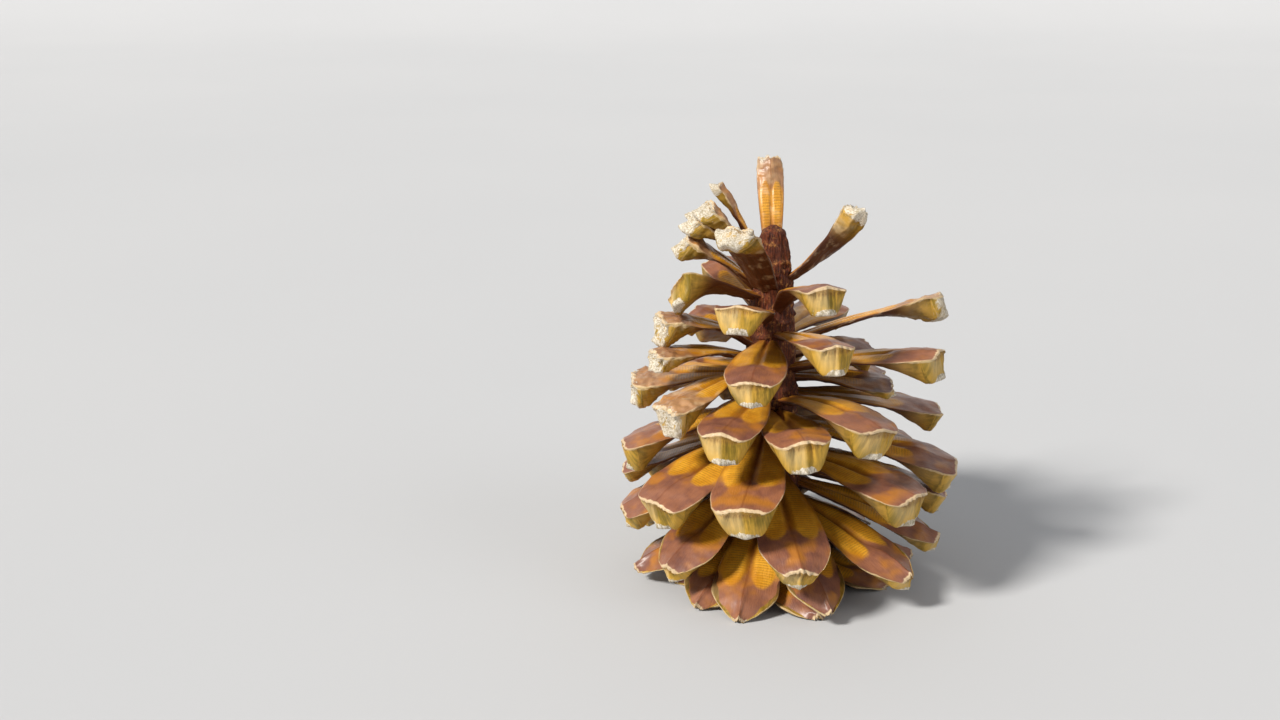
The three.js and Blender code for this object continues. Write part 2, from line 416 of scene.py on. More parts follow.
class Bench:
    """Sets nodes in one tree and joins them."""

    def __init__(self, tree: bpy.types.NodeTree) -> None:
        """Keeps the tree."""
        self.tree = tree

    def node(self, kind: str, **settings: object) -> bpy.types.Node:
        """Sets one node.

        Args:
            kind: The node's type.
            settings: Properties to set on it.

        Returns:
            The node.
        """
        made = self.tree.nodes.new(kind)
        for name, value in settings.items():
            setattr(made, name, value)
        return made

    def feed(self, socket: bpy.types.NodeSocket, value: object) -> None:
        """Joins a value to an input, or writes a plain one on it.

        Args:
            socket: The input.
            value: A term, a socket or a plain value.
        """
        source = value.socket if isinstance(value, Term) else value
        if isinstance(source, bpy.types.NodeSocket):
            self.tree.links.new(source, socket)
        else:
            socket.default_value = source

    def fill(self, node: bpy.types.Node, *values: object) -> None:
        """Feeds a node's first inputs in order."""
        for socket, value in zip(node.inputs, values):
            self.feed(socket, value)

    def math(self, operation: str, *values: Term | float) -> Term:
        """Sets a math node.

        Args:
            operation: What it works out.
            values: One or two values.

        Returns:
            The result.
        """
        node = self.node("ShaderNodeMath", operation=operation)
        self.fill(node, *values)
        return Term(self, node.outputs["Value"])

    def vector(self, operation: str, *values: Arrow) -> Arrow:
        """Sets a vector math node.

        Args:
            operation: What it works out.
            values: One or two vectors.

        Returns:
            The resulting vector.
        """
        node = self.node("ShaderNodeVectorMath", operation=operation)
        self.fill(node, *values)
        return Arrow(self, node.outputs["Vector"])

    def combine(self, x: Term | float, y: Term | float, z: Term | float) -> Arrow:
        """Makes a vector of three numbers.

        Args:
            x: Its first number.
            y: Its second number.
            z: Its third number.

        Returns:
            The vector.
        """
        node = self.node("ShaderNodeCombineXYZ")
        self.fill(node, x, y, z)
        return Arrow(self, node.outputs["Vector"])

    def split(self, arrow: Arrow) -> list[Term]:
        """Takes a vector apart.

        Args:
            arrow: The vector.

        Returns:
            Its three numbers.
        """
        node = self.node("ShaderNodeSeparateXYZ")
        self.fill(node, arrow)
        return [Term(self, socket) for socket in node.outputs]

    def noise(
        self, place: Arrow, scale: float, detail: float = 2.0, roughness: float = 0.5
    ) -> Term:
        """Sets a noise texture.

        Args:
            place: Where it is read.
            scale: How many features there are to one unit.
            detail: How many finer layers it has.
            roughness: How strong the finer layers are.

        Returns:
            The noise, about 0.5.
        """
        node = self.node("ShaderNodeTexNoise")
        self.feed(node.inputs["Vector"], place)
        node.inputs["Scale"].default_value = scale
        node.inputs["Detail"].default_value = detail
        node.inputs["Roughness"].default_value = roughness
        return Term(self, node.outputs[0])

    def mix(self, share: Term | float, low: object, high: object) -> Term:
        """Mixes two colours.

        Args:
            share: 0 for the first colour and 1 for the second.
            low: The first colour, as a term or as four numbers.
            high: The second colour.

        Returns:
            The mixed colour.
        """
        node = self.node("ShaderNodeMix", data_type="RGBA")
        self.feed(node.inputs[0], share)
        self.feed(node.inputs[6], low)
        self.feed(node.inputs[7], high)
        return Term(self, node.outputs[2])


# ---- Scales --------------------------------------------------------------------------------------


@dataclass
class ScaleBlank:
    """The flat blank that every scale is bent from, a closed sheet with its places written on it.

    Place runs from 0 at the root to 1 at the tip, across from -1 to 1, and under from 0 on the
    upper face to 1 on the lower one. The rows lie closer together towards the tip.
    """

    rows: int = 52
    columns: int = 33
    edge_steps: int = 3
    crowding: float = 1.5

    def build(self) -> bpy.types.Object:
        """Makes the blank.

        Returns:
            An object whose points carry place, across and under.
        """
        ring = self._ring()
        places = [1 - (1 - row / self.rows) ** self.crowding for row in range(self.rows + 1)]
        points = [(across, place, under) for place in places for across, under in ring]
        size = len(ring)
        faces = []
        for low in range(0, self.rows * size, size):
            for k in range(size):
                after = (k + 1) % size
                faces.append((low + k, low + size + k, low + size + after, low + after))
        for end, flip in ((0, True), (self.rows * size, False)):
            faces += self._cap(points, end, flip)
        mesh = bpy.data.meshes.new("scale_blank")
        mesh.from_pydata([(a, p, -u) for a, p, u in points], [], faces)
        for name, k in (("across", 0), ("place", 1), ("under", 2)):
            values = mesh.attributes.new(name, "FLOAT", "POINT")
            values.data.foreach_set("value", [point[k] for point in points])
        return bpy.data.objects.new("scale_blank", mesh)

    def _ring(self) -> list[tuple[float, float]]:
        """Lists the places round one section.

        Returns:
            Pairs of across and under, along the upper face, down the right edge and back.
        """
        count = self.columns - 1
        row = [2 * k / count - 1 for k in range(self.columns)]
        steps = [k / self.edge_steps for k in range(1, self.edge_steps)]
        above = [(across, 0.0) for across in row]
        right = [(1.0, step) for step in steps]
        below = [(across, 1.0) for across in reversed(row)]
        left = [(-1.0, 1 - step) for step in steps]
        return above + right + below + left

    def _cap(
        self, points: list[tuple[float, float, float]], end: int, flip: bool
    ) -> list[tuple[int, ...]]:
        """Closes one end with rows of faces from the upper edge to the lower one.

        Args:
            points: The blank's points, which the end's own points are added to.
            end: The first point of the end's ring.
            flip: Whether the end is the root, whose faces run the other way.

        Returns:
            The end's faces.
        """
        columns, steps = self.columns, self.edge_steps
        size = 2 * columns + 2 * (steps - 1)
        rows = [[end + k for k in range(columns)]]
        for step in range(1, steps):
            under = step / steps
            left = end + size - step
            right = end + columns - 1 + step
            middle = []
            for k in range(1, columns - 1):
                middle.append(len(points))
                points.append((2 * k / (columns - 1) - 1, points[end][1], under))
            rows.append([left, *middle, right])
        rows.append([end + 2 * columns + steps - 2 - k for k in range(columns)])
        faces = []
        for upper, lower in zip(rows, rows[1:]):
            for k in range(columns - 1):
                face = (upper[k], upper[k + 1], lower[k + 1], lower[k])
                faces.append(face if flip else face[::-1])
        return faces


@dataclass
class ScaleBender:
    """The tree that bends blanks into scales, one on each point that it is given.

    Three of its sizes are places along the blade, where it is widest, where the shield starts and
    where its knob stands out most. The others are in millimetres.
    """

    widest: float = 0.76
    shield_start: float = 0.55
    knob_place: float = 0.92
    blade: float = 1.5
    rim: float = 0.6
    bed_rise: float = 0.16
    furrow_depth: float = 0.5
    shoulder_rise: float = 0.3
    crease_rise: float = 0.3
    lip_rise: float = 0.12
    tip_droop: float = 0.3
    waves: float = 0.6
    grain: float = 0.1
    keel_length: float = 1.9
    umbo_spread: tuple[float, float] = (1.9, 1.3)
    umbo_length: float = 0.35
    point_length: float = 0.3
    nick_depth: float = 0.5
    rib_depth: float = 0.45
    edge_round: float = 0.12
    tree: bpy.types.GeometryNodeTree = field(init=False)

    VECTORS = ("root", "after_root", "before_tip", "tip", "aside")
    NUMBERS = ("roll", "width", "foot", "neck", "blunt", "ogive", "lump", "knob", "seed", "tone")
    KEPT = ("tone",)  # the number that the finish reads as well

    def __post_init__(self) -> None:
        """Builds the tree."""
        self.tree = bpy.data.node_groups.new("bend_scales", "GeometryNodeTree")
        self._sockets()
        bench = Bench(self.tree)
        entry = bench.node("NodeGroupInput")
        leave = bench.node("NodeGroupOutput")
        blank = bench.node("GeometryNodeObjectInfo")
        bench.feed(blank.inputs["Object"], entry.outputs["Blank"])
        spread = bench.node("GeometryNodeInstanceOnPoints")
        bench.feed(spread.inputs["Points"], entry.outputs["Geometry"])
        bench.feed(spread.inputs["Instance"], blank.outputs["Geometry"])
        real = bench.node("GeometryNodeRealizeInstances")
        bench.feed(real.inputs["Geometry"], spread.outputs["Instances"])
        geometry = self._bent(bench, real.outputs["Geometry"], entry)
        smooth = bench.node("GeometryNodeSetShadeSmooth")
        bench.feed(smooth.inputs["Geometry"], geometry)
        dress = bench.node("GeometryNodeSetMaterial")
        bench.feed(dress.inputs["Geometry"], smooth.outputs["Geometry"])
        bench.feed(dress.inputs["Material"], entry.outputs["Material"])
        bench.feed(leave.inputs["Geometry"], dress.outputs["Geometry"])

    def _sockets(self) -> None:
        """Names the tree's inputs and output."""
        face = self.tree.interface
        face.new_socket("Geometry", in_out="OUTPUT", socket_type="NodeSocketGeometry")
        face.new_socket("Geometry", in_out="INPUT", socket_type="NodeSocketGeometry")
        face.new_socket("Blank", in_out="INPUT", socket_type="NodeSocketObject")
        face.new_socket("Material", in_out="INPUT", socket_type="NodeSocketMaterial")
        for name, value in (("Relief", 1.0), ("Wear", 1.0), ("Seed", float(SEED))):
            socket = face.new_socket(name, in_out="INPUT", socket_type="NodeSocketFloat")
            socket.default_value = value

    def _read(self, bench: Bench, name: str, kind: str = "FLOAT") -> Term:
        """Reads a named attribute.

        Args:
            bench: The bench to work on.
            name: The attribute's name.
            kind: What it holds, numbers or vectors.

        Returns:
            The attribute, as a term or an arrow.
        """
        node = bench.node("GeometryNodeInputNamedAttribute", data_type=kind)
        node.inputs["Name"].default_value = name
        return (Arrow if kind == "FLOAT_VECTOR" else Term)(bench, node.outputs["Attribute"])

    def _bent(
        self, bench: Bench, geometry: bpy.types.NodeSocket, entry: bpy.types.Node
    ) -> bpy.types.NodeSocket:
        """Moves the blanks' points to where the scales have them.

        Args:
            bench: The bench to work on.
            geometry: The blanks.
            entry: The tree's inputs.

        Returns:
            The bent scales, with their finish's places written on them.
        """
        place, across, under = (self._read(bench, name) for name in ("place", "across", "under"))
        roll, width, foot, neck, blunt, ogive, lump, knob_depth, seed, _ = (
            self._read(bench, name) for name in self.NUMBERS
        )
        relief = Term(bench, entry.outputs["Relief"])
        wear = Term(bench, entry.outputs["Wear"])
        shift = seed + Term(bench, entry.outputs["Seed"])
        middle, forward, side, length = self._rib(bench, place, roll)

        # The outline, as half of the width. Lengths are in millimetres until they move a point.
        inner = ((place / self.widest).up_to(1.0) * (math.pi / 2)).sine() ** neck
        outer = ((place - self.widest) / (1 - self.widest)).at_least(0.0).up_to(1.0)
        arc = 1 - (1 - outer ** 2.2) ** 0.5
        narrowed = 1 - (arc + (outer ** 1.6 - arc) * ogive) * (1 - blunt)
        half = (foot + (width - foot) * inner) * narrowed * 0.5
        lay = bench.combine(half * across, length * place, shift * 17.3)

        # Waves over the blade, and the ragged edge and the ribs at its end.
        broad = (bench.noise(lay, 0.16, 1.0) - 0.5) * 2
        fine = (bench.noise(lay, 0.75, 2.0) - 0.5) * 2
        end = place.ease(0.45, 0.9)
        rim_noise = (bench.noise(bench.combine(across * 3, shift * 5.1, 0.0), 1.3, 3.0) - 0.5) * 2
        ribs = (bench.noise(bench.combine(half * across, shift * 5.1, 0.0), 1.2, 2.0) - 0.5) * 2
        half = half * (1 + broad * 0.08 * end)

        # The upper face: two seed beds, a furrow between them, a shoulder and a raised lip.
        edge = across.size()
        from_lobe = (((edge - 0.48) / 0.42) ** 2 + ((place - 0.37) / 0.42) ** 4) ** 0.5
        lobe = 1 - from_lobe.ease(0.62, 1.0)
        broadness = (width / 12).up_to(1.0) ** 2
        furrow = edge.bell(0.0, 0.24) * place.ease(0.76, 0.6) * broadness
        shoulder = place.ease(0.62, self.widest)
        camber = (edge ** 1.25 * -0.95 - edge * ogive * 0.7) * place.ease(0.4, 0.85)
        crease = edge.bell(0.0, 0.2) * place.ease(0.7, 0.88) * ogive
        lip = place.bell(0.985, 0.07) + edge.bell(0.97, 0.12) * end * 0.6
        top = (
            lobe * self.bed_rise
            - furrow * self.furrow_depth
            + shoulder * self.shoulder_rise
            + crease * self.crease_rise
            + camber
            + lip * self.lip_rise
            + broad * self.waves * end
            + fine * self.grain
        ) * relief
        droop = place.ease(0.86, 1.0) * -self.tip_droop

        # The thickness, with the knob under the end, and the shield's face that pushes forward.
        plain = self.blade + (self.rim - self.blade) * place.at_least(edge)
        behind = (place - self.shield_start) / (self.knob_place - self.shield_start)
        behind = behind.at_least(0.0).up_to(1.0)
        before = ((place - self.knob_place) / (1 - self.knob_place)).at_least(0.0).up_to(1.0)
        fall = (behind ** 1.3) * (1 - before ** 2.2)
        sides = ((1 - edge ** 2.7) * 1.2).up_to(1.0)
        depth = plain + knob_depth * fall * sides
        face = before.ease(0.0, 0.12) * under
        umbo_half, umbo_height = self.umbo_spread
        beside = edge * half / umbo_half
        above = (fall - 0.9) * knob_depth / umbo_height
        near = (beside ** 2 + above ** 2) ** 0.5
        umbo = near.ease(1.1, 0.45) * place.ease(0.85, 0.93) * under
        point = near.ease(0.4, 0.0) * place.ease(0.85, 0.93) * under
        keel = (1 - edge) * (fall * 0.85 + 0.1) * face
        push = (
            keel * self.keel_length
            + umbo * self.umbo_length
            + point * self.point_length
            + (fine * 0.3 + ribs * fall.bell(0.1, 0.6) * 0.3) * face
            + broad * 0.3 * face
        ) * knob_depth.ease(0.0, 2.0)
        nick = (rim_noise * self.nick_depth * wear + ribs * self.rib_depth) * place.ease(0.9, 1.0)
        at_tip = place.ease(0.97, 1.0)
        round_out = under.bell(0.5, 0.5) * self.edge_round
        sideways = half * across + across * edge.ease(0.9, 1.0) * round_out * (1 - at_tip)
        sunk = under * depth * -1 + (top * (1 - under * 0.75)) + droop
        under_fine = (bench.noise(lay, 0.5, 3.0) - 0.5) * 0.5 * under * (1 - face)

        # Lumps of dry resin on the end.
        lumps = bench.noise(lay + bench.combine(0.0, fall * 3.0, under * 2.5), 0.55, 2.0) - 0.42
        lumps = lumps * lump * place.ease(0.66, 0.9) * (width * 0.2).up_to(1.6)
        sunk = sunk + lumps * (1 - under * 2.2)
        sideways = sideways + across * edge.ease(0.6, 1.0) * lumps * 0.7
        onward = push + nick + round_out * at_tip + lumps * place.ease(0.9, 1.0)

        # No point goes below the floor.
        moved = (
            middle
            + side * (sideways * MM)
            + forward.cross(side) * ((sunk + under_fine) * MM)
            + forward * (onward * MM)
        )
        x, y, z = bench.split(moved)
        settle = bench.node("GeometryNodeSetPosition")
        bench.feed(settle.inputs["Geometry"], geometry)
        bench.feed(settle.inputs["Position"], bench.combine(x, y, z.at_least(0.0)))
        made = settle.outputs["Geometry"]
        surface = {"lay": lay, "lobe": lobe * (1 - under), "furrow": furrow}
        surface |= {"face": face, "fall": fall, "umbo": umbo}
        for name, value in surface.items():
            kind = "FLOAT_VECTOR" if isinstance(value, Arrow) else "FLOAT"
            write = bench.node("GeometryNodeStoreNamedAttribute", data_type=kind, domain="POINT")
            bench.feed(write.inputs["Geometry"], made)
            write.inputs["Name"].default_value = name
            bench.feed(write.inputs["Value"], value)
            made = write.outputs["Geometry"]
        return made

    def _rib(self, bench: Bench, place: Term, roll: Term) -> tuple[Arrow, Arrow, Arrow, Term]:
        """Follows the rib, a cubic curve led by the four points that each scale brings.

        Args:
            bench: The bench to work on.
            place: The place along the rib.
            roll: How far the tip is turned about the rib.

        Returns:
            The rib's point and its directions forward and to the side, and the scale's length in
            millimetres.
        """
        root, after_root, before_tip, tip, aside = (
            self._read(bench, name, "FLOAT_VECTOR") for name in self.VECTORS
        )
        rest = 1 - place
        middle = (
            root * (rest * rest * rest)
            + after_root * (rest * rest * place * 3)
            + before_tip * (rest * place * place * 3)
            + tip * (place * place * place)
        )
        forward = (
            (after_root - root) * (rest * rest)
            + (before_tip - after_root) * (rest * place * 2)
            + (tip - before_tip) * (place * place)
        ).unit()
        level = (aside - forward * aside.dot(forward)).unit()
        turn = roll * place * -1.0
        side = level * turn.cosine() + forward.cross(level) * turn.sine()
        length = (tip - root).dot((tip - root).unit()) / MM
        return middle, forward, side, length

    def bend(
        self,
        name: str,
        scales: list[Scale],
        blank: bpy.types.Object,
        material: bpy.types.Material,
        wear: float,
    ) -> bpy.types.Object:
        """Bends a blank for each scale and keeps the result as one plain mesh.

        Args:
            name: The piece's name.
            scales: The scales in the piece.
            blank: The blank.
            material: The scales' finish.
            wear: How ragged the rims are, 1 for an ordinary scale.

        Returns:
            The piece, at the origin.
        """
        seeds = bpy.data.meshes.new(f"{name}_points")
        seeds.from_pydata([scale.root * MM for scale in scales], [], [])
        ribs = [ribbed(scale) for scale in scales]
        numbers = [numbered(scale) for scale in scales]
        for label in self.VECTORS:
            values = seeds.attributes.new(label, "FLOAT_VECTOR", "POINT")
            values.data.foreach_set("vector", [x for rib in ribs for x in rib[label]])
        for label in self.NUMBERS:
            values = seeds.attributes.new(label, "FLOAT", "POINT")
            values.data.foreach_set("value", [number[label] for number in numbers])
        holder = bpy.data.objects.new(f"{name}_points", seeds)
        bpy.context.scene.collection.objects.link(holder)
        modifier = holder.modifiers.new("bend", "NODES")
        modifier.node_group = self.tree
        inputs = {
            item.name: item.identifier
            for item in self.tree.interface.items_tree
            if item.item_type == "SOCKET" and item.in_out == "INPUT"
        }
        values = {"Blank": blank, "Material": material, "Wear": wear, "Seed": float(SEED)}
        for label, value in values.items():
            modifier[inputs[label]] = value
        graph = bpy.context.evaluated_depsgraph_get()
        mesh = bpy.data.meshes.new_from_object(holder.evaluated_get(graph), depsgraph=graph)
        holder.modifiers.remove(modifier)
        bpy.data.objects.remove(holder)
        mesh.name = name
        for label in (*self.VECTORS, *self.NUMBERS):
            if label in mesh.attributes and label not in self.KEPT:
                mesh.attributes.remove(mesh.attributes[label])
        piece = bpy.data.objects.new(name, mesh)
        bpy.context.scene.collection.objects.link(piece)
        return piece


def ribbed(scale: Scale) -> dict[str, Vector]:
    """The rib that a scale is bent along: an arch from root to tip.

    Args:
        scale: The scale.

    Returns:
        The rib's four points in metres and the level direction aside, by name.
    """
    chord = scale.tip - scale.root
    pitch = math.atan2(chord.z, math.hypot(chord.x, chord.y))
    half_arch = math.radians(scale.arch) / 2
    third = chord.length / 3

    def heading(angle: float) -> Vector:
        """The direction along the scale at an angle above the level."""
        return outward(scale.heading) * math.cos(angle) + Vector((0, 0, math.sin(angle)))

    return {
        "root": scale.root * MM,
        "after_root": (scale.root + heading(pitch + half_arch) * third) * MM,
        "before_tip": (scale.tip - heading(pitch - half_arch) * third) * MM,
        "tip": scale.tip * MM,
        "aside": outward(scale.heading + 90),
    }


def numbered(scale: Scale) -> dict[str, float]:
    """The numbers that a scale is bent by.

    Args:
        scale: The scale.

    Returns:
        Millimetres, radians and shares, by name. Blunt is the share of the width that the tip
        keeps. Ogive goes from 0 for a round outline to 1 for a pointed one, on the lowest scales.
    """
    crowned = scale.standing is Standing.IN_CROWN
    raised = (scale.tip.z - POINTED_BELOW) / (ROUND_ABOVE - POINTED_BELOW)
    raised = min(1.0, max(0.0, raised))
    blunt = crowned or scale.place > LAST_POINTED
    own = noise.noise(Vector((scale.place * 2.3, 4.5, 0.75)))
    return {
        "roll": math.radians(scale.roll + STRAY_ROLL * own),
        "width": scale.width,
        "foot": scale.foot,
        "neck": NECKS.get(scale.place, PLAIN_NECK),
        "blunt": BLUNT_END if blunt else 0.12 + 0.4 * raised,
        "ogive": 1 - raised,
        "lump": 1.0 if crowned or scale.place in CRUSTED else 0.12,
        "knob": scale.knob_depth,
        "seed": (scale.place * 0.618) % 1 * 40,
        "tone": noise.noise(Vector((scale.place * 3.7, 0.5, 0.25))) * 0.5 + 0.5,
    }


# ---- Finishes ------------------------------------------------------------------------------------

Colour = tuple[float, float, float, float]


def shade(code: str) -> Colour:
    """Turns a colour written as #rrggbb into the linear colour that a shader takes."""

    def linear(part: str) -> float:
        """One channel, from two hexadecimal digits."""
        value = int(part, 16) / 255
        return value / 12.92 if value <= 0.04045 else ((value + 0.055) / 1.055) ** 2.4

    return (linear(code[1:3]), linear(code[3:5]), linear(code[5:7]), 1.0)


class Effects:
    """The surface effects that several finishes share, each a node group built once."""

    def __init__(self) -> None:
        """Builds the groups."""
        self.fibre = self._fibre()
        self.crust = self._crust()
        self.wear = self._wear()

    def _group(
        self, name: str, inputs: dict[str, float | None], outputs: list[str]
    ) -> tuple[Bench, bpy.types.Node, bpy.types.Node]:
        """Starts a shader group.

        Args:
            name: The group's name.
            inputs: Each input's name, with its usual value or None for a vector.
            outputs: The names of its values.

        Returns:
            A bench on the group, its inputs and its outputs.
        """
        tree = bpy.data.node_groups.new(name, "ShaderNodeTree")
        for label, value in inputs.items():
            kind = "NodeSocketVector" if value is None else "NodeSocketFloat"
            socket = tree.interface.new_socket(label, in_out="INPUT", socket_type=kind)
            if value is not None:
                socket.default_value = value
        for label in outputs:
            tree.interface.new_socket(label, in_out="OUTPUT", socket_type="NodeSocketFloat")
        bench = Bench(tree)
        return bench, bench.node("NodeGroupInput"), bench.node("NodeGroupOutput")

    def _fibre(self) -> bpy.types.NodeTree:
        """Wood fibre that runs along a scale or up the core: fine lines and broad streaks."""
        bench, entry, leave = self._group(
            "wood_fibre", {"Place": None, "Fineness": 1.0}, ["Fibre", "Streak"]
        )
        place = Arrow(bench, entry.outputs["Place"])
        drawn = bench.vector("MULTIPLY", place, bench.combine(1.0, 0.13, 1.0))
        drawn = drawn * Term(bench, entry.outputs["Fineness"])
        bench.feed(leave.inputs["Fibre"], bench.noise(drawn, 3.2, 4.0, 0.6).ease(0.3, 0.7))
        bench.feed(leave.inputs["Streak"], bench.noise(drawn, 0.8, 2.0).ease(0.3, 0.7))
        return bench.tree

    def _crust(self) -> bpy.types.NodeTree:
        """Dried resin and bleached bark that sits in rough patches."""
        bench, entry, leave = self._group(
            "dry_crust", {"Place": None, "Amount": 0.5}, ["Mask", "Speck"]
        )
        place = Arrow(bench, entry.outputs["Place"])
        amount = Term(bench, entry.outputs["Amount"])
        patches = bench.noise(place, 0.9, 4.0, 0.65)
        specks = bench.noise(place, 3.4, 3.0, 0.7)
        edge = 0.92 - amount * 0.72
        mask = (patches * 0.75 + specks * 0.25).ease(edge, edge + 0.09)
        bench.feed(leave.inputs["Mask"], mask)
        bench.feed(leave.inputs["Speck"], specks.ease(0.35, 0.65))
        return bench.tree

    def _wear(self) -> bpy.types.NodeTree:
        """Pale wear where an edge has been rubbed; on the scales' rims it also stands for a painted
        highlight.
        """
        bench, entry, leave = self._group("edge_wear_and_glint", {"Place": None, "Edge": 0.0}, ["Mask"])
        place = Arrow(bench, entry.outputs["Place"])
        edge = Term(bench, entry.outputs["Edge"])
        ragged = edge + (bench.noise(place, 1.4, 3.0) - 0.5) * 0.5
        bench.feed(leave.inputs["Mask"], ragged.ease(0.45, 0.85))
        return bench.tree

    def use(
        self, bench: Bench, group: bpy.types.NodeTree, **values: Term | float
    ) -> dict[str, Term]:
        """Places one of the groups in a material.

        Args:
            bench: The material's bench.
            group: The group.
            values: What its inputs take.

        Returns:
            Its outputs by name.
        """
        node = bench.node("ShaderNodeGroup", node_tree=group)
        for name, value in values.items():
            bench.feed(node.inputs[name], value)
        return {socket.name: Term(bench, socket) for socket in node.outputs}


def attribute(bench: Bench, name: str) -> Term:
    """Reads a number that a piece carries."""
    node = bench.node("ShaderNodeAttribute", attribute_name=name)
    return Term(bench, node.outputs["Fac"])


def emboss(
    bench: Bench, shader: bpy.types.Node, height: Term, strength: float, distance: float
) -> None:
    """Gives a material its finest relief.

    Args:
        bench: The material's bench.
        shader: Its shader.
        height: The relief.
        strength: How much of it shows.
        distance: How high it is, in millimetres.
    """
    bump = bench.node("ShaderNodeBump")
    bump.inputs["Strength"].default_value = strength
    bump.inputs["Distance"].default_value = distance * MM
    bench.feed(bump.inputs["Height"], height)
    bench.feed(shader.inputs["Normal"], bump.outputs["Normal"])


def new_material(name: str) -> tuple[bpy.types.Material, Bench, bpy.types.Node]:
    """Starts a material.

    Args:
        name: The material's name.

    Returns:
        The material, a bench on its nodes and its shader.
    """
    material = bpy.data.materials.new(name)
    material.use_nodes = True
    return material, Bench(material.node_tree), material.node_tree.nodes["Principled BSDF"]


